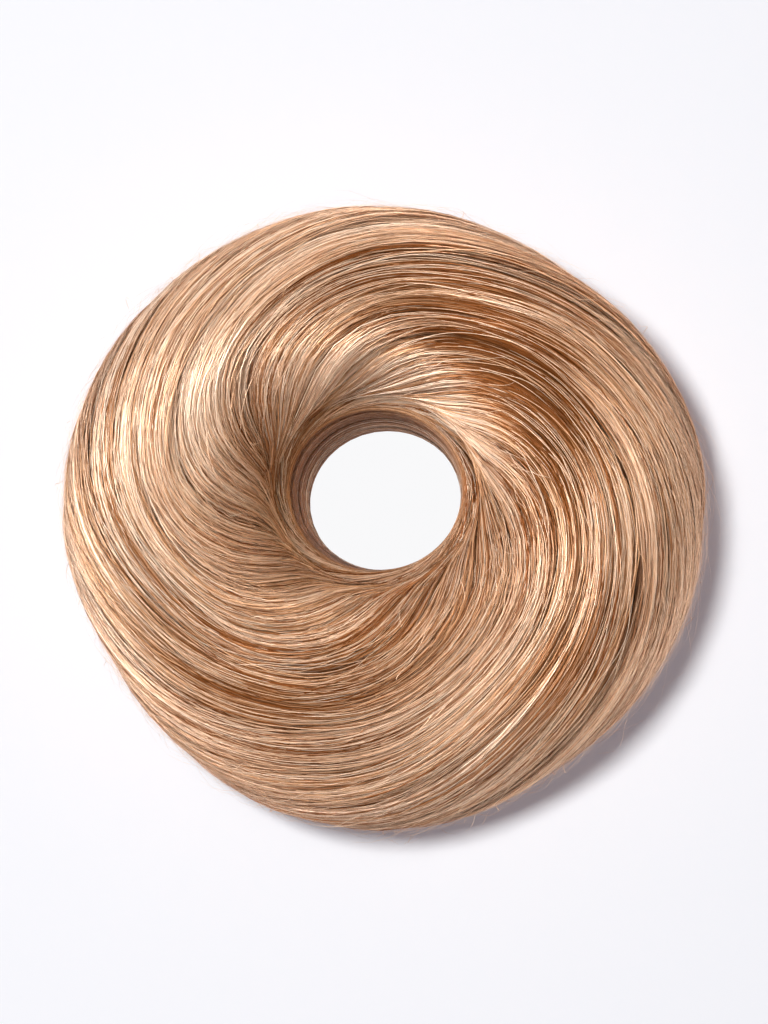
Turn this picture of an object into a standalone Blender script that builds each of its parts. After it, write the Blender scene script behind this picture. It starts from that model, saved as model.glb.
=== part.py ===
"""A top knot hairpiece: a ring of blonde hair with a hole for the wearer's own ponytail.

A collar of hair is wound round the hole. Locks leave it and swirl clockwise, seen from above,
over a bed of hair and down the outside, where their ends are tucked in above the foot.
Metres, +Z up. Everything is worked out about the axis of the hole, and is then moved so that
the origin is the middle of the ring's bounding box, on the surface that the ring rests on.
"""

import math

import bpy
from mathutils import Vector

# Driving dimensions of the ring
RING_RADIUS = 0.0590  # mean, from the axis of the hole to the outside of the locks
RING_HEIGHT = 0.0420
HOLE_RADIUS = 0.0145  # along X, at the narrowest turn of the collar
HOLE_OVAL = 0.93  # width of the hole and its collar along Y, as a share of their width along X
COLLAR_RADIUS = 0.0188  # along X, outer face of the collar, against the bed
COLLAR_HEIGHT = 0.0242
TURN_BULGE = 0.0007  # how far each wound turn of the collar swells into the hole
COLLAR_FLARE = 0.0014  # how much wider the collar is at its top than at its narrowest
FOOT_FLARE = 0.0012  # and at its foot
LIP_WIDTH = 0.0024
LIP_HEIGHT = 0.0026
LIP_INSET = 0.0003  # how far the lip stays inside the collar's outer face
LOCK_THICKNESS = 0.0034

# Clearances between neighbours
SEAT_GAP = 0.00055  # under a lock, of which the facets take up to 0.25 mm
BORE_GAP = 0.0004  # between the collar and the bed
LOCK_GAP = 0.0004  # between two locks, measured square to the hair
END_GAP = 0.0004  # between the collar or its lip and the ends of the locks

# Facets
BED_COLUMNS = 50
COLLAR_COLUMNS = 44
LIP_POINTS = 8
STEPS_PER_ROW = 2  # stations of a lock between two rows of the section
FIRST_STATION = 1  # the locks start this many stations out from the collar
COLLAR_TURNS = 5

# The bed's section from the collar to the foot. reach is the share of the way from the collar
# to the outside, rise the share of the bed's height, hold how much a row moves up and down with
# the collar's top, swirl how far round the ring the hair has turned since it left the collar,
# in degrees, and fan the share of each lock's own fan there.
SECTION_COLUMNS = ("reach", "rise", "hold", "swirl", "fan")
SECTION = (
    (0.000, 0.640, 1.00, 0.0, 0.00),  # behind the collar's lip
    (0.050, 0.700, 0.85, 18.0, 0.05),
    (0.105, 0.765, 0.70, 28.5, 0.20),  # funnel
    (0.180, 0.845, 0.50, 38.5, 0.38),
    (0.275, 0.915, 0.30, 49.0, 0.55),
    (0.375, 0.962, 0.12, 62.0, 0.72),
    (0.480, 0.990, 0.00, 79.0, 0.88),  # shoulder
    (0.585, 1.000, 0.00, 101.0, 0.97),  # crest
    (0.690, 0.985, 0.00, 126.0, 1.00),
    (0.795, 0.930, 0.00, 150.0, 1.00),
    (0.885, 0.835, 0.00, 170.0, 1.00),  # haunch
    (0.955, 0.690, 0.00, 188.0, 1.00),
    (0.993, 0.500, 0.00, 204.0, 1.00),
    (0.995, 0.310, 0.00, 218.0, 1.00),  # widest
    (0.955, 0.150, 0.00, 230.0, 1.00),
    (0.890, 0.075, 0.00, 238.0, 1.00),  # tucked ends
)

# The rest of the bed's section, back under the ring to the collar
FOOT_COLUMNS = ("reach", "rise")
FOOT = (
    (0.830, 0.000),  # outer edge of the flat foot
    (0.560, 0.000),
    (0.290, 0.000),
    (0.060, 0.000),  # inner edge of the flat foot
    (0.000, 0.050),
    (0.000, 0.370),
)

# The ring's outline from above, as shares of RING_RADIUS, at even steps from +X towards +Y
OUTLINE = (1.032, 0.970, 0.914, 0.928, 0.948, 0.984, 1.022, 1.009, 1.040, 1.067, 1.038, 1.051)

# One row for each lock: where its inner edge leaves the collar, in degrees from +X towards +Y,
# how much further on that edge fans out by the crest, in degrees the same way, how thick the
# lock is, as a share of LOCK_THICKNESS, how much of that is left at its outer edge, which the
# next lock stands over, and which blonde it is.
LOCK_COLUMNS = ("start", "fan", "crown", "tuck", "blonde")
LOCKS = (
    (6.0, -6.0, 0.92, 0.50, "mid"),
    (34.0, -10.0, 1.02, 0.70, "light"),
    (64.0, -6.0, 0.90, 0.70, "mid"),
    (96.0, -8.0, 0.98, 0.68, "deep"),
    (126.0, -14.0, 0.90, 0.42, "mid"),
    (152.0, -20.0, 1.04, 0.70, "light"),  # stands up at the lower right
    (171.0, -16.0, 0.88, 0.80, "mid"),
    (180.0, 3.0, 0.82, 0.34, "deep"),  # the dark funnel at the upper left
    (190.0, 24.0, 1.12, 0.38, "light"),  # wide and pale, its edge stands over the funnel
    (228.0, 28.0, 1.06, 0.50, "light"),  # folds over the wide one at the left
    (268.0, 19.0, 0.98, 0.68, "mid"),
    (302.0, 6.0, 0.92, 0.52, "deep"),
    (338.0, 0.0, 1.00, 0.68, "mid"),
)

# A lock's thickness across it, from its inner edge to its outer edge: its shape, and how much
# of the fall to its outer edge it has taken there
ACROSS_COLUMNS = ("across", "shape", "fall")
ACROSS = (
    (0.00, 0.80, 0.00),
    (0.12, 0.98, 0.00),
    (0.42, 1.00, 0.00),
    (0.72, 1.00, 0.42),
    (1.00, 1.00, 1.00),
)

# A lock's thickness along it: shares of its length, and of its thickness
ALONG_COLUMNS = ("along", "thickness")
ALONG = ((0.00, 0.20), (0.12, 0.64), (0.30, 1.00), (0.80, 1.00), (0.93, 0.80), (1.00, 0.40))

# Base colour, metallic and roughness of each kind of hair
HAIR = {
    "light": ((0.80, 0.60, 0.42, 1.0), 0.0, 0.42),
    "mid": ((0.62, 0.42, 0.27, 1.0), 0.0, 0.45),
    "deep": ((0.46, 0.29, 0.17, 1.0), 0.0, 0.48),
    "bed": ((0.40, 0.25, 0.15, 1.0), 0.0, 0.55),
    "wound": ((0.50, 0.31, 0.19, 1.0), 0.0, 0.45),
}

NUDGE = 1e-4  # step of the finite differences, as a share of a row


def catmull_rom(before, start, end, after, share):
    """A smooth value between start and end, with its slope set by their neighbours."""
    return 0.5 * (
        2 * start
        + (end - before) * share
        + (2 * before - 5 * start + 4 * end - after) * share**2
        + (3 * start - before - 3 * end + after) * share**3
    )


def along_rows(rows, column, place):
    """A column of an open table at a place counted in rows, read from a smooth curve."""
    last = len(rows) - 1
    row = min(max(int(math.floor(place)), 0), last - 1)
    picked = [rows[min(max(row + step, 0), last)][column] for step in (-1, 0, 1, 2)]
    return catmull_rom(*picked, place - row)


def between_rows(rows, place):
    """The second column of a two-column table where the first is place, on straight lines."""
    for (low, first), (high, second) in zip(rows, rows[1:]):
        if place <= high:
            return first + (second - first) * (place - low) / (high - low)
    return rows[-1][1]


def outline(azimuth):
    """The ring's outer radius at an azimuth, in radians."""
    place = (azimuth / math.tau % 1.0) * len(OUTLINE)
    row = int(place)
    picked = [OUTLINE[(row + step) % len(OUTLINE)] for step in (-1, 0, 1, 2)]
    return RING_RADIUS * catmull_rom(*picked, place - row)


def oval(azimuth):
    """How far the hole's oval reaches at an azimuth, as a share of its reach along X."""
    return HOLE_OVAL / math.hypot(HOLE_OVAL * math.cos(azimuth), math.sin(azimuth))


def bed_radius(azimuth, reach):
    """How far the bed's surface is from the axis of the hole."""
    inner = COLLAR_RADIUS * oval(azimuth) + BORE_GAP
    outer = outline(azimuth) - SEAT_GAP - LOCK_THICKNESS
    return inner + reach * (outer - inner)


def bed_height():
    return RING_HEIGHT - SEAT_GAP - LOCK_THICKNESS


def ring_point(azimuth, radius, height):
    return Vector((radius * math.cos(azimuth), radius * math.sin(azimuth), height))


def bed_point(azimuth, place):
    """A point of the bed's surface under the locks. place counts rows of SECTION."""
    reach = along_rows(SECTION, SECTION_COLUMNS.index("reach"), place)
    rise = along_rows(SECTION, SECTION_COLUMNS.index("rise"), place)
    hold = along_rows(SECTION, SECTION_COLUMNS.index("hold"), place)
    at_collar = SECTION[0][SECTION_COLUMNS.index("rise")]
    height = rise * bed_height() + hold * (COLLAR_HEIGHT - at_collar * bed_height())
    return ring_point(azimuth, bed_radius(azimuth, reach), height)


def bed_normal(azimuth, place):
    round_ring = bed_point(azimuth + NUDGE, place) - bed_point(azimuth - NUDGE, place)
    down_section = bed_point(azimuth, place + NUDGE) - bed_point(azimuth, place - NUDGE)
    return down_section.cross(round_ring).normalized()


def hair_azimuth(start, fan, place):
    """Where hair that leaves the collar at an azimuth has got to at a place of the section."""
    swirl = along_rows(SECTION, SECTION_COLUMNS.index("swirl"), place)
    share = along_rows(SECTION, SECTION_COLUMNS.index("fan"), place)
    return math.radians(start - swirl + fan * share)


def edge_turn(start, fan, place):
    """The angle round the ring that half of LOCK_GAP takes up, measured square to the hair."""
    azimuth = hair_azimuth(start, fan, place)
    round_ring = bed_point(azimuth + NUDGE, place) - bed_point(azimuth - NUDGE, place)
    low, high = max(place - NUDGE, 0.0), place + NUDGE
    with_hair = bed_point(hair_azimuth(start, fan, high), high)
    with_hair -= bed_point(hair_azimuth(start, fan, low), low)
    square = round_ring.cross(with_hair).length / with_hair.length / (2 * NUDGE)
    return 0.5 * LOCK_GAP / square


def hair_material(kind):
    """The Principled material of one kind of hair, made once."""
    name = f"{kind}_hair"
    if name in bpy.data.materials:
        return bpy.data.materials[name]
    colour, metallic, roughness = HAIR[kind]
    material = bpy.data.materials.new(name)
    material.use_nodes = True
    shader = material.node_tree.nodes["Principled BSDF"]
    shader.inputs["Base Color"].default_value = colour
    shader.inputs["Metallic"].default_value = metallic
    shader.inputs["Roughness"].default_value = roughness
    material.diffuse_color = colour
    return material


def add_object(name, points, faces, kind):
    mesh = bpy.data.meshes.new(name)
    mesh.from_pydata([tuple(point) for point in points], [], faces)
    mesh.shade_smooth()
    mesh.set_sharp_from_angle(angle=math.radians(50.0))
    mesh.materials.append(hair_material(kind))
    made = bpy.data.objects.new(name, mesh)
    bpy.context.scene.collection.objects.link(made)
    return made


def ring_faces(columns, rows):
    """Two triangles for each cell of a grid that closes on itself both ways."""
    faces = []
    for column in range(columns):
        following = (column + 1) % columns
        for row in range(rows):
            below = (row + 1) % rows
            a, b = column * rows + row, following * rows + row
            c, d = following * rows + below, column * rows + below
            faces += [(a, d, c), (a, c, b)]
    return faces


def lathe(name, loop, columns, kind):
    """An oval ring: its section is a closed loop of (radius along X, height).

    The loop runs clockwise with the hole on its left.
    """
    points = []
    for column in range(columns):
        azimuth = math.tau * column / columns
        points += [ring_point(azimuth, radius * oval(azimuth), height) for radius, height in loop]
    return add_object(name, points, ring_faces(columns, len(loop)), kind)


def make_bed():
    """The bed of hair that the locks lie on, with a flat foot and a bore for the collar."""
    points = []
    for column in range(BED_COLUMNS):
        azimuth = math.tau * column / BED_COLUMNS
        points += [bed_point(azimuth, row) for row in range(len(SECTION))]
        for reach, rise in FOOT:
            points.append(ring_point(azimuth, bed_radius(azimuth, reach), rise * bed_height()))
    return add_object("hair_bed", points, ring_faces(BED_COLUMNS, len(SECTION) + len(FOOT)), "bed")


def collar_bore(share):
    """The collar's bare inner radius along X at a share of its height.

    It is a waist that flares both ways.
    """
    waist = 0.36
    flare = COLLAR_FLARE if share > waist else FOOT_FLARE
    span = 1.0 - waist if share > waist else waist
    return HOLE_RADIUS + TURN_BULGE + flare * ((share - waist) / span) ** 2


def make_collar():
    """The wound wall of the hole: each turn of hair swells a little into the hole."""
    foot, top = 0.0, COLLAR_HEIGHT
    loop = [(COLLAR_RADIUS, top), (COLLAR_RADIUS, foot)]
    for turn in range(COLLAR_TURNS):
        for part, bulge in ((0.0, 0.0), (0.28, 1.0), (0.72, 1.0)):
            share = (turn + part) / COLLAR_TURNS
            radius = collar_bore(share) - bulge * TURN_BULGE
            loop.append((radius, foot + share * (top - foot)))
    loop.append((collar_bore(1.0), top))
    return lathe("collar_wall", loop, COLLAR_COLUMNS, "wound")


def make_lip():
    """The bundle of hair wound round the top of the collar."""
    middle = COLLAR_RADIUS - LIP_INSET - 0.5 * LIP_WIDTH
    floor = COLLAR_HEIGHT + END_GAP
    loop = []
    for point in range(LIP_POINTS):
        turn = math.tau * (point + 0.5) / LIP_POINTS
        across = 0.5 * LIP_WIDTH * math.cos(turn)
        up = 0.5 * LIP_HEIGHT * (1.0 - math.sin(turn))
        loop.append((middle + across, floor + up))
    return lathe("collar_lip", loop, COLLAR_COLUMNS, "mid")


def lock_section(inner, outer, place, crown, tuck):
    """One closed section of a lock: its seat on the bed, then its outer face back again.

    inner and outer are the start and the fan of its two edges.
    """
    length = len(SECTION) - 1
    thickness = LOCK_THICKNESS * crown * between_rows(ALONG, place / length)
    first = hair_azimuth(*inner, place) + edge_turn(*inner, place)
    last = hair_azimuth(*outer, place) - edge_turn(*outer, place)
    seat, face = [], []
    for across, shape, fall in ACROSS:
        azimuth = first + across * (last - first)
        base, normal = bed_point(azimuth, place), bed_normal(azimuth, place)
        seat.append(base + normal * SEAT_GAP)
        face.append(base + normal * (SEAT_GAP + thickness * (shape - fall * (1.0 - tuck))))
    return seat + face[::-1]


def lock_faces(stations, points):
    """Side triangles between stations, cut on the short diagonal, and the two end caps."""
    faces = []
    for station in range(stations - 1):
        for point in range(points):
            onward = (point + 1) % points
            a, b = station * points + point, station * points + onward
            c, d = b + points, a + points
            on_seat = point < points // 2
            faces += [(a, b, c), (a, c, d)] if on_seat else [(a, b, d), (b, c, d)]
    half = points // 2
    for base, flip in ((0, False), ((stations - 1) * points, True)):
        for step in range(half - 1):
            a, b = base + step, base + step + 1
            c, d = base + points - 2 - step, base + points - 1 - step
            cap = [(a, c, b), (a, d, c)]
            faces += [tri[::-1] for tri in cap] if flip else cap
    return faces


def make_lock(number):
    """A lock from the collar's lip, over the bed, to its end above the foot."""
    start, fan, crown, tuck, kind = LOCKS[number]
    next_start, next_fan = LOCKS[(number + 1) % len(LOCKS)][:2]
    if next_start <= start:
        next_start += 360.0
    places = [
        station / STEPS_PER_ROW
        for station in range(FIRST_STATION, (len(SECTION) - 1) * STEPS_PER_ROW + 1)
    ]
    points = []
    for place in places:
        points += lock_section((start, fan), (next_start, next_fan), place, crown, tuck)
    faces = lock_faces(len(places), 2 * len(ACROSS))
    return add_object(f"swirl_lock_{number + 1:02d}", points, faces, kind)


def centre_on_origin(made):
    """Moves every mesh so that the origin is the bottom centre of the whole bounding box."""
    corners = [vertex.co for piece in made for vertex in piece.data.vertices]
    low = [min(corner[axis] for corner in corners) for axis in range(3)]
    high = [max(corner[axis] for corner in corners) for axis in range(3)]
    middle = Vector(((low[0] + high[0]) / 2, (low[1] + high[1]) / 2, low[2]))
    for piece in made:
        for vertex in piece.data.vertices:
            vertex.co -= middle


def clear_scene():
    for old in list(bpy.data.objects):
        bpy.data.objects.remove(old)


def main():
    clear_scene()
    made = [make_bed(), make_collar(), make_lip()]
    made += [make_lock(number) for number in range(len(LOCKS))]
    centre_on_origin(made)


main()
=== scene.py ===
"""The looks of a blonde top knot hairpiece: a ring of hair with a hole for a ponytail.

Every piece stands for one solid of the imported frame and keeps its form. A lock is a smooth
core with several hundred fine strands laid on it, which leave the collar's lip nearly along
it, climb the funnel, swirl clockwise over the ring and are tucked in above its foot. The
collar and its lip are cores with strands wound round the hole. Metres, +Z up.
"""

import math

import bpy
import numpy as np
from mathutils import Matrix, Vector


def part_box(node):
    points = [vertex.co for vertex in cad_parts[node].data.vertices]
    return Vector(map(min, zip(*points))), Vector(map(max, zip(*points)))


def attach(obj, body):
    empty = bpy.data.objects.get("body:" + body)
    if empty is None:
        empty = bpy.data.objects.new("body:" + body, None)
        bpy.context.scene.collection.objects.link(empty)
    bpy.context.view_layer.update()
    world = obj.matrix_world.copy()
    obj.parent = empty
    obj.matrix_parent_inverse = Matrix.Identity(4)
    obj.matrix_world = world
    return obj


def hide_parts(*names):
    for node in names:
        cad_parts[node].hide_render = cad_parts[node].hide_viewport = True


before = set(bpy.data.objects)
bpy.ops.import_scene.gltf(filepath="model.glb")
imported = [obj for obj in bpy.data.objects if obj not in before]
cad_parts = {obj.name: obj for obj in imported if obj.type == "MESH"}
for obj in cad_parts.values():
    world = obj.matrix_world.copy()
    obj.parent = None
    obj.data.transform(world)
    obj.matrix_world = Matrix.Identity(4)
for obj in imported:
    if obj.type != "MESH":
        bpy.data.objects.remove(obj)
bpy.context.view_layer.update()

MM = 0.001
SEED = 20

# The ring, as its solids have it
RING_RADIUS = 0.0590
RING_HEIGHT = 0.0420
HOLE_RADIUS = 0.0145
HOLE_OVAL = 0.93
COLLAR_RADIUS = 0.0188
COLLAR_HEIGHT = 0.0242
TURN_BULGE = 0.0007
COLLAR_FLARE = 0.0014
FOOT_FLARE = 0.0012
COLLAR_WAIST = 0.36
LIP_WIDTH = 0.0024
LIP_HEIGHT = 0.0026
LIP_INSET = 0.0003
LOCK_THICKNESS = 0.0034
SEAT_GAP = 0.00055
BORE_GAP = 0.0004
END_GAP = 0.0004

# The bed's section as its solid has it, with two rows ahead of it that take the hair back
# over the collar's lip. Columns: reach from the collar to the outside, rise, swirl and fan.
LIP_ROWS = 2
SECTION = np.array(
    (
        (-0.062, 0.684, -112.0, 0.00),  # top of the lip
        (-0.030, 0.690, -50.0, 0.00),
        (0.000, 0.678, -10.0, 0.00),
        (0.050, 0.706, 14.0, 0.05),
        (0.105, 0.765, 28.5, 0.20),  # funnel
        (0.180, 0.845, 38.5, 0.38),
        (0.275, 0.915, 49.0, 0.55),
        (0.375, 0.962, 62.0, 0.72),
        (0.480, 0.990, 79.0, 0.88),  # shoulder
        (0.585, 1.000, 101.0, 0.97),  # crest
        (0.690, 0.985, 126.0, 1.00),
        (0.795, 0.930, 150.0, 1.00),
        (0.885, 0.835, 170.0, 1.00),  # haunch
        (0.955, 0.690, 188.0, 1.00),
        (0.993, 0.500, 204.0, 1.00),
        (0.995, 0.310, 218.0, 1.00),  # widest
        (0.955, 0.150, 230.0, 1.00),
        (0.890, 0.075, 238.0, 1.00),  # tucked ends
    )
)
FOOT_LIFT = 0.40 * MM  # leaves room for the strands that swirl across the foot
FOOT = ((0.830, 0.000), (0.560, 0.000), (0.290, 0.000), (0.060, 0.000), (0.000, 0.050), (0.000, 0.370))

# The outline from above, as shares of RING_RADIUS, at even steps from +X towards +Y
OUTLINE = np.array((1.032, 0.970, 0.914, 0.928, 0.948, 0.984, 1.022, 1.009, 1.040, 1.067, 1.038, 1.051))

# One row for each lock: where its inner edge starts, how far that edge fans out, how thick
# the lock is, how much of that is left at its outer edge, and its blonde
LOCKS = (
    (6.0, -6.0, 0.92, 0.50, "mid"),
    (34.0, -10.0, 1.02, 0.70, "light"),
    (64.0, -6.0, 0.90, 0.70, "mid"),
    (96.0, -8.0, 0.98, 0.68, "deep"),
    (126.0, -14.0, 0.90, 0.42, "mid"),
    (152.0, -20.0, 1.04, 0.70, "light"),
    (171.0, -16.0, 0.88, 0.80, "mid"),
    (180.0, 3.0, 0.82, 0.34, "deep"),
    (190.0, 24.0, 1.12, 0.38, "light"),
    (228.0, 28.0, 1.06, 0.50, "light"),
    (268.0, 19.0, 0.98, 0.68, "mid"),
    (302.0, 6.0, 0.92, 0.52, "deep"),
    (338.0, 0.0, 1.00, 0.68, "mid"),
)

# The skin of a lock from its inner edge over its back to its outer edge: share of the way
# round the skin, share across the lock, share of its thickness, and how much of the fall to
# its outer edge it has taken
SKIN = np.array(
    (
        (0.00, 0.00, 0.05, 0.00),
        (0.06, 0.00, 0.55, 0.00),
        (0.11, 0.02, 0.84, 0.00),
        (0.22, 0.12, 0.98, 0.00),
        (0.50, 0.42, 1.00, 0.00),
        (0.76, 0.72, 1.00, 0.42),
        (0.96, 0.96, 1.00, 0.92),
        (1.00, 1.00, 0.60, 1.00),
    )
)
ALONG = np.array(((0.00, 0.20), (0.12, 0.64), (0.30, 1.00), (0.80, 1.00), (0.93, 0.80), (1.00, 0.40)))

# Linear colours of the hair
TONES = {
    "light": np.array((0.84, 0.53, 0.335)),
    "mid": np.array((0.70, 0.395, 0.215)),
    "deep": np.array((0.50, 0.235, 0.105)),
}
PALE = np.array((0.95, 0.75, 0.585))
DARK = np.array((0.24, 0.078, 0.021))
# The cores under the strands are painted dark: painted shade deep in the hair.
UNDER_SHADE = np.array((0.27, 0.105, 0.036))  # the cores under the strands

# Wide soft patches of lighter or darker hair, partly the hair's own blonde and partly painted
# highlight and painted shade of the light falling on the ring. Columns: azimuth of the middle
# and spread in degrees, radius of the middle and reach in metres, and amount, lighter above 0
TONE_AND_PAINTED_LIGHT_PATCHES = (
    (0.0, 18.0, 18.0 * MM, 3.0 * MM, -0.70),
    (268.0, 20.0, 18.0 * MM, 2.0 * MM, -0.30),
    (138.0, 22.0, 17.0 * MM, 2.0 * MM, -0.40),
    (34.0, 22.0, 21.5 * MM, 2.4 * MM, 0.45),
    (95.0, 26.0, 22.5 * MM, 3.6 * MM, 0.80),
    (222.0, 34.0, 22.5 * MM, 3.6 * MM, 0.50),
    (45.0, 42.0, 28.5 * MM, 3.4 * MM, -0.90),
    (152.0, 19.0, 33.5 * MM, 3.8 * MM, 1.00),
    (18.0, 34.0, 34.0 * MM, 5.0 * MM, -0.90),
    (52.0, 32.0, 38.5 * MM, 5.0 * MM, -1.20),
    (106.0, 22.0, 47.0 * MM, 6.0 * MM, 0.50),
    (190.0, 24.0, 42.0 * MM, 7.0 * MM, 0.75),
    (247.0, 26.0, 48.0 * MM, 8.0 * MM, -0.95),
    (285.0, 14.0, 49.0 * MM, 5.0 * MM, 0.40),
    (318.0, 15.0, 50.0 * MM, 5.0 * MM, -0.75),
    (350.0, 16.0, 47.0 * MM, 5.0 * MM, 0.35),
)

# Strands
SAMPLES = 36  # points along a lock's strand
STRANDS_PER_LOCK = 720
STRAND_WIDTH = 0.15 * MM
ROUNDING = math.radians(52.0)  # how far a strand's normals lean at its edges
LOOSE_HAIRS = 900
LOOSE_WIDTH = 0.09 * MM
RIM_HAIRS = 3000
RIM_WIDTH = 0.085 * MM
COLLAR_STRANDS = 1100
LIP_STRANDS = 420
FOOT_STRANDS = 900
FOOT_STRAND_WIDTH = 0.35 * MM
LEAST_SPAN = 8.0 * MM  # keeps a strand that runs nearly round the lip from wandering far
NUDGE = 1e-3  # step for slopes, in radians or rows
EDGE_TINT = (0.72, 0.42, 0.25, 1.0)  # keeps a strand warm where it is seen edge on

# Light: each lamp's place and size in metres, and its power in watts
PAPER = (0.80, 0.80, 0.80)
BLACK = (0.0, 0.0, 0.0)
FLOOR_GLOW = (0.112, 0.113, 0.152)
HOLE_GLOW = (0.945, 0.945, 0.955)
WARM = (1.0, 0.985, 0.975)
GOLD = (1.0, 0.74, 0.50)
HAIR_KEY = {"place": (-0.86, 0.25, 0.66), "size": 0.50, "power": 20.0, "colour": WARM}
FILLS = (
    {"place": (0.45, -0.40, 0.06), "size": 0.20, "power": 1.8, "colour": WARM},
    {"place": (0.58, 0.20, 0.06), "size": 0.20, "power": 1.2, "colour": WARM},
    {"place": (0.46, 0.26, 0.50), "size": 0.30, "power": 2.1, "colour": GOLD},
    {"place": (0.10, 0.60, 0.10), "size": 0.20, "power": 2.4, "colour": WARM},
    {"place": (-0.35, -0.60, 0.60), "size": 0.50, "power": 3.0, "colour": WARM},
)
FLOOR_KEY = {"place": (-0.15, 0.07, 1.03), "size": 0.20, "power": 10.5, "colour": (0.955, 0.975, 1.0)}
WORLD_POWER = 0.12
WORLD_COLOUR = (1.0, 0.87, 0.74, 1.0)

rng = np.random.default_rng(SEED)
low, high = (Vector(corner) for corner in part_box("collar_wall"))
HOLE = np.array(((low.x + high.x) / 2, (low.y + high.y) / 2, 0.0))
LAST_PLACE = len(SECTION) - 1 - LIP_ROWS


def smooth_rows(values, place):
    """A column read at fractional rows from a smooth curve, for an array of places."""
    last = len(values) - 1
    row = np.clip(np.floor(place).astype(int), 0, last - 1)
    share = place - row
    before, start, end, after = (values[np.clip(row + step, 0, last)] for step in (-1, 0, 1, 2))
    return 0.5 * (
        2 * start
        + (end - before) * share
        + (2 * before - 5 * start + 4 * end - after) * share**2
        + (3 * start - before - 3 * end + after) * share**3
    )


def outline(azimuth):
    place = (azimuth / math.tau % 1.0) * len(OUTLINE)
    padded = np.concatenate((OUTLINE[-1:], OUTLINE, OUTLINE[:3]))
    return RING_RADIUS * smooth_rows(padded, place + 1.0)


def oval(azimuth):
    """How far the hole's oval reaches at an azimuth, as a share of its reach along X."""
    return HOLE_OVAL / np.hypot(HOLE_OVAL * np.cos(azimuth), np.sin(azimuth))


def bed_radius(azimuth, reach):
    inner = COLLAR_RADIUS * oval(azimuth) + BORE_GAP
    outer = outline(azimuth) - SEAT_GAP - LOCK_THICKNESS
    return inner + reach * (outer - inner)


BED_HEIGHT = RING_HEIGHT - SEAT_GAP - LOCK_THICKNESS


def ring_points(azimuth, radius, height):
    return np.stack((radius * np.cos(azimuth), radius * np.sin(azimuth), height), axis=-1)


def bed_points(azimuth, place):
    """Points of the bed's surface. place counts rows of the section out from the collar."""
    row = place + LIP_ROWS
    reach, rise = smooth_rows(SECTION[:, 0], row), smooth_rows(SECTION[:, 1], row)
    return ring_points(azimuth, bed_radius(azimuth, reach), rise * BED_HEIGHT)


def swirl(place):
    return np.radians(smooth_rows(SECTION[:, 2], place + LIP_ROWS))


def fan_share(place):
    return smooth_rows(SECTION[:, 3], place + LIP_ROWS)


def lock_edges(number):
    """The start and fan of a lock's inner edge, and how much the outer edge's are beyond them."""
    start, fan = LOCKS[number][:2]
    next_start, next_fan = LOCKS[(number + 1) % len(LOCKS)][:2]
    wide = (next_start - start) % 360.0
    return np.radians((start, fan, wide, next_fan - fan))


def on_skin(skin, tuck):
    """How far across a lock, and how thick as a share of it, a place of its skin is."""
    across, shape, fall = (np.interp(skin, SKIN[:, 0], SKIN[:, column]) for column in (1, 2, 3))
    return across, shape - fall * (1.0 - tuck) * shape


def lock_azimuth(edges, across, place):
    """Where hair a share of the way across a lock has got to at a place of the section."""
    start, fan, wide, fan_more = edges
    return start + across * wide - swirl(place) + (fan + across * fan_more) * fan_share(place)


def unit(vectors):
    return vectors / np.maximum(np.linalg.norm(vectors, axis=-1, keepdims=True), 1e-12)


def bed_normals(azimuth, place):
    round_ring = bed_points(azimuth + NUDGE, place) - bed_points(azimuth - NUDGE, place)
    down = bed_points(azimuth, place + NUDGE) - bed_points(azimuth, place - NUDGE)
    return unit(np.cross(down, round_ring))


def square_span(place):
    """How far two strands a radian apart lie from each other, measured square to the hair."""
    zero = np.zeros_like(place)
    round_ring = (bed_points(zero + NUDGE, place) - bed_points(zero - NUDGE, place)) / (2 * NUDGE)
    ahead = bed_points(-swirl(place + NUDGE), place + NUDGE)
    behind = bed_points(-swirl(place - NUDGE), place - NUDGE)
    turned = bed_points(zero, place)
    with_hair = unit(ahead - behind)
    spin = -swirl(place)
    across = np.stack((-np.sin(spin), np.cos(spin), zero), axis=-1) * np.linalg.norm(
        turned[..., :2], axis=-1, keepdims=True
    )
    return np.linalg.norm(np.cross(across, with_hair), axis=-1)


def even_places(start, end, count):
    """Places that are evenly spaced along the hair."""
    fine = np.linspace(start, end, 600)
    points = bed_points(-swirl(fine), fine)
    length = np.concatenate(((0.0,), np.cumsum(np.linalg.norm(np.diff(points, axis=0), axis=1))))
    return np.interp(np.linspace(0.0, length[-1], count), length, fine)


def waves(shape, samples, most, decay=1.0):
    """Smooth random curves of about unit height, one for each row, made of a few sines."""
    along = np.linspace(0.0, 1.0, samples)
    total = np.zeros((shape, samples))
    for turn in range(1, most + 1):
        phase = rng.uniform(0.0, math.tau, (shape, 1))
        size = rng.normal(0.0, 1.0, (shape, 1)) / turn**decay
        total += size * np.sin(math.pi * turn * along + phase)
    return total / math.sqrt(sum(1.0 / turn ** (2 * decay) for turn in range(1, most + 1)))


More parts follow.
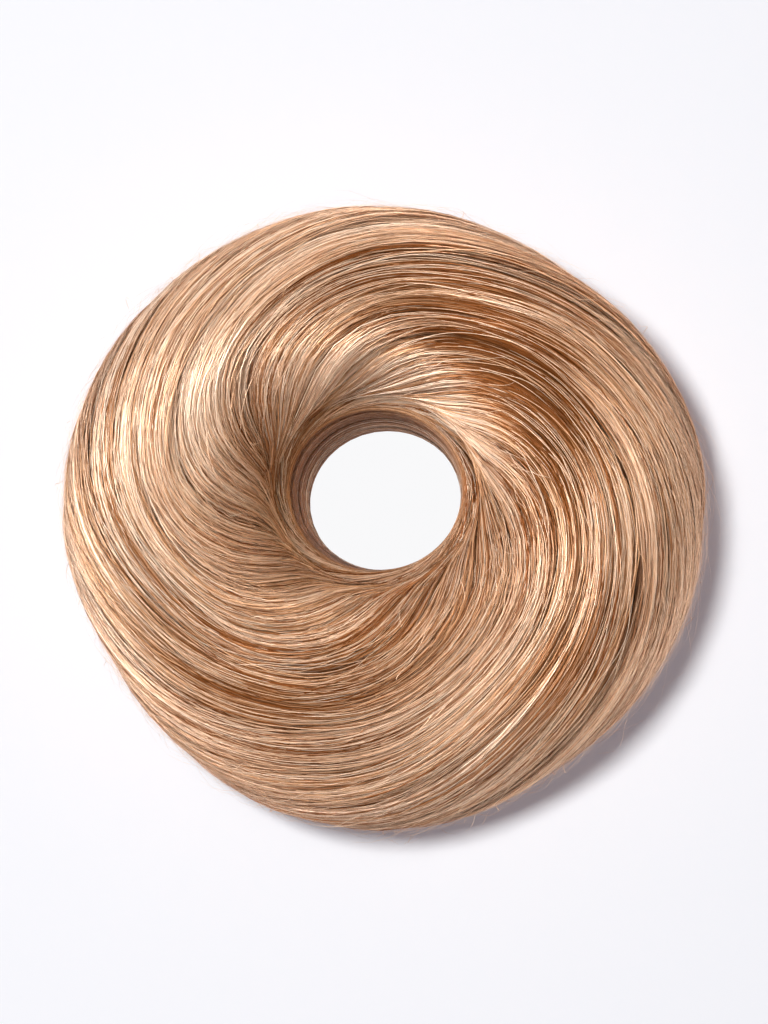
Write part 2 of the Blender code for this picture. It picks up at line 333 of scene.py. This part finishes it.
class Hair:
    """Collects cores and strands of one piece, and makes its mesh."""

    def __init__(self):
        self.points, self.normals, self.colours = [], [], []
        self.quads, self.flow, self.atlas, self.kinds = [], [], [], []
        self.count = 0

    def add(self, points, normals, colours, quads, flow, atlas, kind):
        self.points.append(points)
        self.normals.append(normals)
        self.colours.append(colours)
        self.quads.append(quads + self.count)
        self.flow.append(flow)
        self.atlas.append(atlas)
        self.kinds.append(np.full(len(quads), kind))
        self.count += len(points)

    def add_grid(self, grid, normals, colour, flow, atlas, close_rows, close_columns):
        """A surface through rows and columns of points, closed either way."""
        rows, columns = grid.shape[:2]
        index = np.arange(rows * columns).reshape(rows, columns)
        if close_rows:
            index = np.vstack((index, index[:1]))
        if close_columns:
            index = np.hstack((index, index[:, :1]))
        quads = np.stack((index[:-1, :-1], index[:-1, 1:], index[1:, 1:], index[1:, :-1]), axis=-1)
        flat = (array.reshape(-1, array.shape[-1]) for array in (grid, normals))
        colours = np.broadcast_to(colour, (rows, columns, 3)).reshape(-1, 3)
        self.add(*flat, colours, quads.reshape(-1, 4), flow.reshape(-1, 2), atlas.reshape(-1, 2), 0)

    def add_strands(self, paths, normals, widths, colours):
        """Ribbons along the paths (strand, sample, axis), rounded by their normals."""
        strands, samples = paths.shape[:2]
        tangents = unit(np.gradient(paths, axis=1))
        side = unit(np.cross(tangents, normals))
        up = unit(np.cross(side, tangents))
        offset = side * widths[..., None] * 0.5
        points = np.stack((paths - offset, paths + offset), axis=2)
        lean_up, lean_out = up * math.cos(ROUNDING), side * math.sin(ROUNDING)
        rounded = np.stack((lean_up - lean_out, lean_up + lean_out), axis=2)
        index = np.arange(strands * samples * 2).reshape(strands, samples, 2)
        quads = np.stack((index[:, :-1, 0], index[:, :-1, 1], index[:, 1:, 1], index[:, 1:, 0]), axis=-1)
        along = np.linspace(0.0, 1.0, samples)
        column = (np.arange(strands)[:, None, None] + np.array((0.2, 0.8))) / strands
        atlas = np.stack(np.broadcast_arrays(0.12 + 0.88 * column, along[None, :, None]), axis=-1)
        where = rng.uniform(0.0, 400.0, (strands, 1, 1))
        flow = np.stack(np.broadcast_arrays(where + np.zeros(2), 200.0 * along[None, :, None]), axis=-1)
        colours = np.repeat(colours[:, :, None, :], 2, axis=2)
        self.add(
            points.reshape(-1, 3),
            rounded.reshape(-1, 3),
            colours.reshape(-1, 3),
            quads.reshape(-1, 4),
            flow.reshape(-1, 2),
            atlas.reshape(-1, 2),
            1,
        )

    def finish(self, name, core_material, strand_material):
        """The piece's mesh object, with the collected cores and strands in it."""
        points = np.concatenate(self.points) + HOLE
        quads = np.concatenate(self.quads)
        mesh = bpy.data.meshes.new(name)
        mesh.vertices.add(len(points))
        mesh.vertices.foreach_set("co", points.astype(np.float32).ravel())
        mesh.loops.add(quads.size)
        mesh.loops.foreach_set("vertex_index", quads.astype(np.int32).ravel())
        mesh.polygons.add(len(quads))
        mesh.polygons.foreach_set("loop_start", np.arange(0, quads.size, 4, dtype=np.int32))
        mesh.polygons.foreach_set("material_index", np.concatenate(self.kinds).astype(np.int32))
        mesh.update(calc_edges=True)
        mesh.shade_smooth()
        corners = quads.ravel()
        for layer, values in (("OFBake", self.atlas), ("flow", self.flow)):
            uv = mesh.uv_layers.new(name=layer)
            uv.data.foreach_set("uv", np.concatenate(values)[corners].astype(np.float32).ravel())
        colours = np.concatenate(self.colours)
        tone = mesh.color_attributes.new(name="tone", type="FLOAT_COLOR", domain="POINT")
        rgba = np.concatenate((np.clip(colours, 0.0, 1.0), np.ones((len(colours), 1))), axis=1)
        tone.data.foreach_set("color", rgba.astype(np.float32).ravel())
        mesh.normals_split_custom_set_from_vertices(np.concatenate(self.normals).astype(np.float32))
        mesh.materials.append(core_material)
        mesh.materials.append(strand_material)
        piece = bpy.data.objects.new(name, mesh)
        bpy.context.scene.collection.objects.link(piece)
        return piece


def hair_material(name, core, shine=0.40, gloss=0.22):
    """Hair whose tone is painted strand by strand, with streaks along the flow."""
    material = bpy.data.materials.new(name)
    material.use_nodes = True
    nodes, links = material.node_tree.nodes, material.node_tree.links
    shader = nodes["Principled BSDF"]
    tone = nodes.new("ShaderNodeAttribute")
    tone.attribute_name = "tone"
    flow = nodes.new("ShaderNodeUVMap")
    flow.uv_map = "flow"
    stretch = nodes.new("ShaderNodeMapping")
    stretch.inputs["Scale"].default_value = (3.2, 0.10, 1.0) if core else (1.0, 0.12, 1.0)
    links.new(flow.outputs["UV"], stretch.inputs["Vector"])
    streaks = nodes.new("ShaderNodeTexNoise")
    streaks.inputs["Scale"].default_value = 1.0
    streaks.inputs["Detail"].default_value = 4.0
    links.new(stretch.outputs["Vector"], streaks.inputs["Vector"])
    shade = nodes.new("ShaderNodeMapRange")
    shade.inputs["From Min"].default_value = 0.30
    shade.inputs["From Max"].default_value = 0.70
    shade.inputs["To Min"].default_value = 0.45 if core else 0.72
    shade.inputs["To Max"].default_value = 1.10 if core else 1.20
    links.new(streaks.outputs["Fac"], shade.inputs["Value"])
    mixed = nodes.new("ShaderNodeVectorMath")
    mixed.operation = "SCALE"
    links.new(tone.outputs["Color"], mixed.inputs[0])
    links.new(shade.outputs["Result"], mixed.inputs["Scale"])
    links.new(mixed.outputs["Vector"], shader.inputs["Base Color"])
    shader.inputs["Roughness"].default_value = 0.50 if core else 0.38
    shader.inputs["Specular IOR Level"].default_value = 0.1 if core else gloss
    shader.inputs["Specular Tint"].default_value = EDGE_TINT
    shader.inputs["Metallic"].default_value = 0.0 if core else shine
    if core:
        bump = nodes.new("ShaderNodeBump")
        bump.inputs["Strength"].default_value = 0.6
        bump.inputs["Distance"].default_value = 0.3 * MM
        links.new(streaks.outputs["Fac"], bump.inputs["Height"])
        links.new(bump.outputs["Normal"], shader.inputs["Normal"])
    return material


CORE = hair_material("hair_core", True)
STRANDS = hair_material("hair_strands", False)
WOUND = hair_material("hair_wound", False, 0.05, 0.08)


def thickness(place):
    """A lock's thickness along it, where 1 is its full thickness."""
    share = np.clip(place / LAST_PLACE, 0.0, 1.0)
    return np.interp(share, ALONG[:, 0], ALONG[:, 1])


def tone_and_painted_light_shift(points):
    """How much lighter or darker the soft patches, partly painted highlight and painted shade, make the hair
    at some points.
    """
    azimuth, radius = np.arctan2(points[..., 1], points[..., 0]), np.hypot(points[..., 0], points[..., 1])
    shift = np.zeros_like(azimuth)
    for middle, spread, at_radius, reach, amount in TONE_AND_PAINTED_LIGHT_PATCHES:
        turn = (np.degrees(azimuth) - middle + 180.0) % 360.0 - 180.0
        shift += amount * np.exp(-0.5 * ((turn / spread) ** 2 + ((radius - at_radius) / reach) ** 2))
    return shift


def blend(kind, way):
    """Tones off one blonde: towards the pale one where way is above 0, else to the dark one."""
    base = TONES[kind]
    lighter, darker = np.clip(way, 0.0, 1.0)[..., None], np.clip(-way, 0.0, 1.0)[..., None]
    return base + (PALE - base) * lighter + (DARK - base) * darker


def lock_core(hair, number):
    """The lock's smooth body under its strands."""
    edges = lock_edges(number)
    crown, tuck = LOCKS[number][2:4]
    stations, skins = 70, 12
    place = even_places(0.4, LAST_PLACE - 0.2, stations)[:, None]
    across, up = on_skin(np.linspace(0.0, 1.0, skins)[None, :], tuck)
    place = place + np.zeros_like(across)
    azimuth = lock_azimuth(edges, 0.01 + 0.98 * across, place)
    lift = np.maximum(LOCK_THICKNESS * crown * thickness(place) * up - 0.20 * MM, 0.25 * MM)
    base, normal = bed_points(azimuth, place), bed_normals(azimuth, place)
    top = base + normal * lift[..., None]
    bottom = base + normal * 0.1 * MM
    grid = np.concatenate((top, bottom[:, ::-1]), axis=1)
    normals = np.concatenate((normal, -normal[:, ::-1]), axis=1)
    rows, columns = grid.shape[:2]
    along = np.linspace(0.0, 1.0, rows)[:, None] + np.zeros((rows, columns))
    round_it = np.linspace(0.0, 1.0, columns)[None, :] + np.zeros((rows, columns))
    atlas = np.stack((0.11 * round_it, along), axis=-1)
    flow = np.stack((number * 40.0 + 12.0 * round_it, 200.0 * along), axis=-1)
    hair.add_grid(grid, normals, UNDER_SHADE, flow, atlas, False, True)


def lock_strands(hair, number, count):
    """Fine strands over the lock's skin, gathered in bundles that wander a little."""
    edges = lock_edges(number)
    crown, tuck, kind = LOCKS[number][2:]
    before_crown, before_tuck = LOCKS[number - 1][2:4]
    crest_width = math.degrees(edges[2] + edges[3])
    bundles = 5 + int(crest_width / 2.6)
    middle = (np.arange(bundles) + rng.uniform(0.1, 0.9, bundles)) / bundles
    half = rng.uniform(0.35, 1.1, bundles) / bundles
    rise = rng.normal(0.0, 0.13, bundles) * MM
    drift = waves(bundles, SAMPLES, 3) * 0.024
    bundle_way = rng.normal(0.0, 0.24, bundles)

    bundle = rng.integers(0, bundles, count)
    offset = rng.uniform(-1.0, 1.0, count)
    depth = rng.uniform(0.0, 1.0, count) ** 1.2
    first = rng.uniform(-1.9, 0.6, count)
    last = LAST_PLACE - rng.uniform(-0.3, 1.4, count) ** 2
    late = rng.uniform(size=count) < 0.22
    first = np.where(late, rng.uniform(0.5, 8.0, count), first)
    early = rng.uniform(size=count) < 0.22
    last = np.where(early, np.maximum(first + 3.0, rng.uniform(6.0, LAST_PLACE, count)), last)

    table = even_places(-2.0, LAST_PLACE + 0.3, 400)
    shares = np.linspace(0.0, 1.0, len(table))
    at_first, at_last = np.interp(first, table, shares), np.interp(last, table, shares)
    along = np.linspace(0.0, 1.0, SAMPLES)[None, :]
    place = np.interp(at_first[:, None] + (at_last - at_first)[:, None] * along, shares, table)

    spread = 1.0 + 0.25 * waves(count, SAMPLES, 2)
    skin = middle[bundle][:, None] + (half[bundle] * offset)[:, None] * spread
    here = np.clip((place + 2.0) / (LAST_PLACE + 2.0), 0.0, 1.0) * (SAMPLES - 1)
    left = np.floor(here).astype(int).clip(0, SAMPLES - 2)
    frac = here - left
    wander = drift[bundle[:, None], left] * (1 - frac) + drift[bundle[:, None], left + 1] * frac
    across, up = on_skin(np.clip(skin + wander, 0.0, 1.0), tuck)

    seam = rng.uniform(size=(count, 1)) < 0.11
    low_seam = before_tuck * before_crown / crown
    across = np.where(seam, rng.normal(-0.004, 0.012, (count, 1)), 0.01 + 0.98 * across)
    up = np.where(seam, low_seam + (0.80 - low_seam) * rng.uniform(-0.3, 0.95, (count, 1)), up)

    stray = rng.uniform(size=(count, 1)) < 0.09
    own = waves(count, SAMPLES, 4, 0.7) * np.where(stray, 1.25, 0.38) * MM
    span = np.interp(place, table, square_span(table))
    azimuth = lock_azimuth(edges, across, place) + own / np.maximum(span, LEAST_SPAN)

    ridge = (1.0 - offset**2)[:, None] * 0.22 * MM + rise[bundle][:, None]
    sink = (depth * 0.62 * MM)[:, None] + waves(count, SAMPLES, 3) * 0.12 * MM
    sink = np.where(stray, -0.15 * MM, sink)
    ends = np.minimum(along, 1.0 - along) * 12.0
    buried = np.where(late | early, 1.0, 0.35)[:, None] * (1.0 - np.clip(ends, 0.0, 1.0)) ** 2 * 0.9 * MM
    full = LOCK_THICKNESS * crown * thickness(place) * up
    lift = SEAT_GAP + full + np.minimum(ridge, 0.5 * full + 0.1 * MM) - sink - buried
    lift = np.maximum(lift, 0.15 * MM)

    base, normal = bed_points(azimuth, place), bed_normals(azimuth, place)
    paths = base + normal * lift[..., None]
    paths[..., 2] = np.maximum(paths[..., 2], 0.3 * MM)
    roll = rng.normal(0.0, 0.35, (count, 1))
    side = np.cross(unit(np.gradient(paths, axis=1)), normal)
    normals = unit(normal * np.cos(roll)[..., None] + side * np.sin(roll)[..., None])

    taper = np.clip(np.minimum(along, 1.0 - along) * 14.0, 0.15, 1.0)
    widths = STRAND_WIDTH * rng.uniform(0.55, 1.4, (count, 1)) * taper
    # Deeper strands are painted darker: painted shade among the hair.
    way = rng.normal(0.0, 0.58, count) + bundle_way[bundle] - 0.55 * depth + 0.22
    # Strands in the seam between locks are painted darker: painted shade in the crease.
    way = (way - 0.35 * seam[:, 0])[:, None] + tone_and_painted_light_shift(paths)
    hair.add_strands(paths, normals, widths, blend(kind, way))


def make_lock(number, share):
    hair = Hair()
    lock_core(hair, number)
    edges = lock_edges(number)
    wide = math.degrees(edges[2] + edges[3]) / (360.0 / len(LOCKS))
    lock_strands(hair, number, int(STRANDS_PER_LOCK * wide * share))
    piece = hair.finish(f"hair_lock_{number + 1:02d}", CORE, STRANDS)
    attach(piece, "root")
    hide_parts(f"swirl_lock_{number + 1:02d}")
    return piece


def make_bed():
    """The bed of hair: a closed ring with a flat foot, with strands swirling across the foot."""
    hair = Hair()
    columns = 160
    azimuth = np.linspace(0.0, math.tau, columns, endpoint=False)[:, None]
    place = np.linspace(0.0, LAST_PLACE, 2 * LAST_PLACE + 1)[None, :]
    top = bed_points(azimuth + 0 * place, place + 0 * azimuth)
    foot = np.array(FOOT)
    reach, rise = foot[:, 0][None, :], foot[:, 1][None, :]
    under = ring_points(azimuth + 0 * reach, bed_radius(azimuth, reach), rise * BED_HEIGHT + 0 * azimuth)
    grid = np.concatenate((top, under), axis=1)
    grid[..., 2] = np.maximum(grid[..., 2], FOOT_LIFT)
    rows, cols = grid.shape[:2]
    down = np.roll(grid, -1, axis=1) - np.roll(grid, 1, axis=1)
    around = np.roll(grid, -1, axis=0) - np.roll(grid, 1, axis=0)
    normals = unit(np.cross(down, around))
    along = np.linspace(0.0, 1.0, rows)[:, None] + np.zeros((rows, cols))
    section = np.linspace(0.0, 1.0, cols)[None, :] + np.zeros((rows, cols))
    flow = np.stack((60.0 * section + 40.0 * along, 300.0 * along), axis=-1)
    atlas = np.stack((0.11 * section, along), axis=-1)
    hair.add_grid(grid, normals, UNDER_SHADE, flow, atlas, True, True)

    count, samples = FOOT_STRANDS, 24
    begin = rng.uniform(0.0, math.tau, (count, 1))
    t = np.linspace(0.0, 1.0, samples)[None, :]
    reach = 0.90 - t * rng.uniform(0.55, 0.86, (count, 1)) + 0.01 * waves(count, samples, 3)
    reach = np.clip(reach, 0.045, 0.93)
    turn = begin - t * rng.uniform(0.9, 1.5, (count, 1)) - 0.5 * t**2
    height = np.interp(reach, (0.045, 0.08, 0.80, 0.87, 0.93), (0.5, 0.12, 0.12, 0.9, 2.0)) * MM
    height = height + rng.uniform(0.0, 0.25, (count, 1)) * MM * (reach < 0.8)
    paths = ring_points(turn, bed_radius(turn, reach), height)
    normals = np.zeros_like(paths)
    normals[..., 2] = -1.0
    widths = np.full((count, samples), FOOT_STRAND_WIDTH)
    way = rng.normal(0.0, 0.35, (count, 1)) + np.zeros((count, samples))
    hair.add_strands(paths, normals, widths, blend("deep", way))
    piece = hair.finish("hair_bed_under_locks", CORE, STRANDS)
    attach(piece, "root")
    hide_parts("hair_bed")
    return piece


def collar_bore(share):
    flare = np.where(share > COLLAR_WAIST, COLLAR_FLARE, FOOT_FLARE)
    span = np.where(share > COLLAR_WAIST, 1.0 - COLLAR_WAIST, COLLAR_WAIST)
    return HOLE_RADIUS + TURN_BULGE + flare * ((share - COLLAR_WAIST) / span) ** 2


def make_collar(share):
    """The wound wall of the hole."""
    hair = Hair()
    columns, levels = 140, 26
    azimuth = np.linspace(0.0, math.tau, columns, endpoint=False)[:, None]
    rise = np.linspace(0.0, 1.0, levels)[None, :]
    inner = (collar_bore(rise) + 0.15 * MM) * oval(azimuth)
    wall = ring_points(azimuth + 0 * rise, inner, rise * COLLAR_HEIGHT + 0 * azimuth)
    back = COLLAR_RADIUS * oval(azimuth) + 0 * rise
    outer = ring_points(azimuth + 0 * rise, back, (1.0 - rise) * COLLAR_HEIGHT + 0 * azimuth)
    grid = np.concatenate((wall, outer), axis=1)
    rows, cols = grid.shape[:2]
    down = np.roll(grid, -1, axis=1) - np.roll(grid, 1, axis=1)
    around = np.roll(grid, -1, axis=0) - np.roll(grid, 1, axis=0)
    normals = unit(np.cross(down, around))
    along = np.linspace(0.0, 1.0, rows)[:, None] + np.zeros((rows, cols))
    section = np.linspace(0.0, 1.0, cols)[None, :] + np.zeros((rows, cols))
    flow = np.stack((50.0 * section, 110.0 * along), axis=-1)
    atlas = np.stack((0.11 * section, along), axis=-1)
    # The collar's core is painted darker still: painted shade in the hole.
    hair.add_grid(grid, normals, 0.6 * UNDER_SHADE, flow, atlas, True, True)

    count, samples = int(COLLAR_STRANDS * share), 38
    bundles = 19
    level = (np.arange(bundles) + rng.uniform(0.2, 0.8, bundles)) / bundles
    bundle = rng.integers(0, bundles, count)
    offset = rng.uniform(-1.0, 1.0, count)
    half = rng.uniform(0.5, 0.9, bundles) / bundles
    begin = rng.uniform(0.0, math.tau, (count, 1))
    t = np.linspace(0.0, 1.0, samples)[None, :]
    angle = begin - rng.uniform(0.5, 1.1, (count, 1)) * math.tau * t
    climb = rng.uniform(0.00, 0.09, (count, 1)) * (t - 0.5)
    sway = 0.016 * np.sin(angle + rng.uniform(0.0, math.tau, bundles)[bundle][:, None])
    up = level[bundle][:, None] + (half[bundle] * offset)[:, None] + climb + sway
    up = np.clip(up + 0.004 * waves(count, samples, 3), 0.012, 1.0)
    ridge = (1.0 - offset**2)[:, None] * TURN_BULGE * rng.uniform(0.5, 1.0, bundles)[bundle][:, None]
    depth = rng.uniform(0.0, 0.45, (count, 1)) * MM
    radius = (collar_bore(up) - ridge + depth + 0.05 * MM) * oval(angle)
    paths = ring_points(angle, radius, up * COLLAR_HEIGHT)
    normals = np.stack((-np.cos(angle), -np.sin(angle), np.full_like(angle, 0.25)), axis=-1)
    taper = np.clip(np.minimum(t, 1.0 - t) * 14.0, 0.15, 1.0)
    widths = STRAND_WIDTH * rng.uniform(0.8, 1.6, (count, 1)) * taper
    # The wall's strands are a deep blonde, darker on the whole: partly the hair's own tone, partly painted
    # shade in the hole.
    way = rng.normal(0.0, 0.30, bundles)[bundle] + rng.normal(-0.15, 0.45, count)
    hair.add_strands(paths, unit(normals), widths, blend("deep", way[:, None] + np.zeros((count, samples))))
    piece = hair.finish("hair_collar", CORE, WOUND)
    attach(piece, "root")
    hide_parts("collar_wall")
    return piece


def make_lip(share):
    """The bundle wound round the top of the collar."""
    hair = Hair()
    middle = COLLAR_RADIUS - LIP_INSET - 0.5 * LIP_WIDTH
    height = COLLAR_HEIGHT + END_GAP + 0.5 * LIP_HEIGHT
    columns, around_tube, shrink = 140, 14, 0.86
    azimuth = np.linspace(0.0, math.tau, columns, endpoint=False)[:, None]
    tube = -np.linspace(0.0, math.tau, around_tube, endpoint=False)[None, :]
    radius = (middle + shrink * 0.5 * LIP_WIDTH * np.cos(tube)) * oval(azimuth)
    level = height + shrink * 0.5 * LIP_HEIGHT * np.sin(tube) + 0 * azimuth
    grid = ring_points(azimuth + 0 * tube, radius, level)
    normals = unit(ring_points(azimuth + 0 * tube, np.cos(tube) + 0 * azimuth, np.sin(tube) + 0 * azimuth))
    rows, cols = grid.shape[:2]
    along = np.linspace(0.0, 1.0, rows)[:, None] + np.zeros((rows, cols))
    section = np.linspace(0.0, 1.0, cols)[None, :] + np.zeros((rows, cols))
    flow = np.stack((14.0 * section, 110.0 * along), axis=-1)
    atlas = np.stack((0.11 * section, along), axis=-1)
    # The lip's core is painted darker too: painted shade under its strands.
    hair.add_grid(grid, normals, 0.7 * UNDER_SHADE, flow, atlas, True, True)

    count, samples = int(LIP_STRANDS * share), 44
    begin = rng.uniform(0.0, math.tau, (count, 1))
    t = np.linspace(0.0, 1.0, samples)[None, :]
    angle = begin - rng.uniform(0.4, 1.0, (count, 1)) * math.tau * t
    bundles = 9
    side = (np.arange(bundles) + rng.uniform(0.2, 0.8, bundles)) / bundles * math.tau
    bundle = rng.integers(0, bundles, count)
    offset = rng.uniform(-1.0, 1.0, count)
    turn = side[bundle][:, None] + (offset * 0.34)[:, None] - 0.9 * t * rng.uniform(0.4, 1.0, (count, 1))
    turn = turn + 0.05 * waves(count, samples, 3)
    depth = rng.uniform(0.0, 0.3, (count, 1)) * MM
    ridge = (1.0 - offset**2)[:, None] * 0.14 * MM
    wide = 0.5 * LIP_WIDTH - depth + ridge - 0.1 * MM
    tall = 0.5 * LIP_HEIGHT - depth + ridge - 0.1 * MM
    paths = ring_points(angle, (middle + wide * np.cos(turn)) * oval(angle), height + tall * np.sin(turn))
    normals = unit(ring_points(angle, np.cos(turn), np.sin(turn)))
    taper = np.clip(np.minimum(t, 1.0 - t) * 14.0, 0.15, 1.0)
    widths = STRAND_WIDTH * rng.uniform(0.7, 1.4, (count, 1)) * taper
    way = rng.normal(0.0, 0.3, bundles)[bundle] + rng.normal(-0.12, 0.40, count)
    # The lip's strands take the patches' painted highlight and painted shade too.
    hair.add_strands(paths, normals, widths, blend("mid", way[:, None] + tone_and_painted_light_shift(paths)))
    piece = hair.finish("hair_lip", CORE, STRANDS)
    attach(piece, "root")
    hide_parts("collar_lip")
    return piece


def add_loose(hair, count, samples, first, last, stand, width, turn_off):
    """Fine loose hairs along the flow, from one place of the section towards another."""
    begin = rng.uniform(0.0, math.tau, (count, 1))
    t = np.linspace(0.0, 1.0, samples)[None, :]
    place = np.minimum(first + (last - first) * t, LAST_PLACE)
    azimuth = begin - swirl(place) + turn_off * t**2 + 0.02 * waves(count, samples, 3)
    lift = LOCK_THICKNESS * thickness(place) + 0.3 * MM + stand * (np.sin(math.pi * t**1.2) ** 2 + 0.7 * t**2)
    base, normal = bed_points(azimuth, place), bed_normals(azimuth, place)
    paths = base + normal * lift[..., None]
    paths[..., 2] = np.maximum(paths[..., 2], 0.3 * MM)
    taper = np.clip(np.minimum(t + 0.05, 1.0 - t) * 6.0, 0.1, 1.0)
    widths = width * rng.uniform(0.7, 1.2, (count, 1)) * taper
    # Loose hairs are paler than the locks: partly lighter loose ends, partly painted light of a bright fuzzy
    # rim.
    way = rng.normal(0.35, 0.35, (count, 1)) + np.zeros((count, samples))
    hair.add_strands(paths, normal, widths, blend("light", way))


def make_flyaways(share):
    """Hairs that have worked loose: some stand off the ring, and a fine fuzz softens its rim."""
    hair = Hair()
    count = int(LOOSE_HAIRS * share)
    first = rng.uniform(2.5, 12.5, (count, 1))
    last = first + rng.uniform(0.8, 3.0, (count, 1))
    stand = rng.gamma(1.6, 0.50, (count, 1)) * MM
    add_loose(hair, count, 20, first, last, stand, LOOSE_WIDTH, rng.normal(0.0, 0.10, (count, 1)))
    count = int(RIM_HAIRS * share)
    first = rng.uniform(9.5, 14.0, (count, 1))
    last = first + rng.uniform(0.5, 2.0, (count, 1))
    stand = rng.gamma(1.5, 0.45, (count, 1)) * MM
    add_loose(hair, count, 10, first, last, stand, RIM_WIDTH, rng.normal(0.0, 0.05, (count, 1)))
    piece = hair.finish("flyaway_hair", CORE, STRANDS)
    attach(piece, "root")
    return piece


def make_floor():
    """A white sweep that glows a little, and as bright inside the hole as in the open."""
    size = 3.0
    corners = [(-size, -size, 0), (size, -size, 0), (size, size, 0), (-size, size, 0)]
    mesh = bpy.data.meshes.new("floor")
    mesh.from_pydata(corners, [], [(0, 1, 2, 3)])
    floor = bpy.data.objects.new("floor", mesh)
    bpy.context.scene.collection.objects.link(floor)
    material = bpy.data.materials.new("floor_paper")
    material.use_nodes = True
    nodes, links = material.node_tree.nodes, material.node_tree.links
    shader = nodes["Principled BSDF"]
    shader.inputs["Roughness"].default_value = 0.9
    shader.inputs["Specular IOR Level"].default_value = 0.0
    shader.inputs["Emission Strength"].default_value = 1.0
    place = nodes.new("ShaderNodeNewGeometry")
    from_hole = nodes.new("ShaderNodeVectorMath")
    from_hole.operation = "DISTANCE"
    from_hole.inputs[1].default_value = HOLE
    links.new(place.outputs["Position"], from_hole.inputs[0])
    outward = nodes.new("ShaderNodeMapRange")
    outward.inputs["From Min"].default_value = HOLE_RADIUS + 1.0 * MM
    outward.inputs["From Max"].default_value = COLLAR_RADIUS
    links.new(from_hole.outputs["Value"], outward.inputs["Value"])
    for socket, inside, outside in (("Emission Color", HOLE_GLOW, FLOOR_GLOW), ("Base Color", BLACK, PAPER)):
        change = nodes.new("ShaderNodeMixRGB")
        change.inputs["Color1"].default_value = (*inside, 1.0)
        change.inputs["Color2"].default_value = (*outside, 1.0)
        links.new(outward.outputs["Result"], change.inputs["Fac"])
        links.new(change.outputs["Color"], shader.inputs[socket])
    mesh.materials.append(material)
    return floor


def add_light(name, key, receivers):
    """A round soft light aimed at the ring, which lights the receivers alone."""
    light = bpy.data.lights.new(name, "AREA")
    light.shape = "DISK"
    light.size = key["size"]
    light.energy = key["power"]
    light.color = key["colour"]
    lamp = bpy.data.objects.new(name, light)
    place = Vector(key["place"])
    lamp.location = place
    lamp.rotation_euler = (Vector((0.0, 0.0, 0.02)) - place).to_track_quat("-Z", "Y").to_euler()
    bpy.context.scene.collection.objects.link(lamp)
    lit = bpy.data.collections.new(f"{name}_receivers")
    for receiver in receivers:
        lit.objects.link(receiver)
    lamp.light_linking.receiver_collection = lit


def light_scene(pieces, floor):
    scene = bpy.context.scene
    scene.view_settings.view_transform = "Standard"
    scene.view_settings.look = "None"
    world = bpy.data.worlds.new("studio")
    world.use_nodes = True
    back = world.node_tree.nodes["Background"]
    back.inputs["Color"].default_value = WORLD_COLOUR
    back.inputs["Strength"].default_value = WORLD_POWER
    scene.world = world
    add_light("hair_key", HAIR_KEY, pieces)
    for number, fill in enumerate(FILLS):
        add_light(f"hair_fill_{number + 1}", fill, pieces)
    add_light("floor_key", FLOOR_KEY, [floor])


def add_camera():
    """Nearly straight above, tipped a little to the lower right of the photograph."""
    tilt, turn = math.radians(8.0), math.radians(42.0)
    distance, lens = 0.72, 135.0
    away = Vector((math.sin(tilt) * math.sin(turn), -math.sin(tilt) * math.cos(turn), math.cos(tilt)))
    target = Vector((0.56 * MM, 0.56 * MM, 20.0 * MM))
    right = Vector((0.0, 1.0, 0.0)).cross(away).normalized()
    up = away.cross(right).normalized()
    data = bpy.data.cameras.new("camera")
    data.lens = lens
    data.sensor_fit = "AUTO"
    data.clip_start = 0.01
    camera = bpy.data.objects.new("camera", data)
    axes = Matrix((right, up, away)).transposed().to_4x4()
    camera.matrix_world = Matrix.Translation(target + away * distance) @ axes
    bpy.context.scene.collection.objects.link(camera)
    bpy.context.scene.camera = camera


share = 1.0
pieces = [make_bed(), make_collar(share), make_lip(share)]
pieces += [make_lock(number, share) for number in range(len(LOCKS))]
pieces.append(make_flyaways(share))
light_scene(pieces, make_floor())
add_camera()
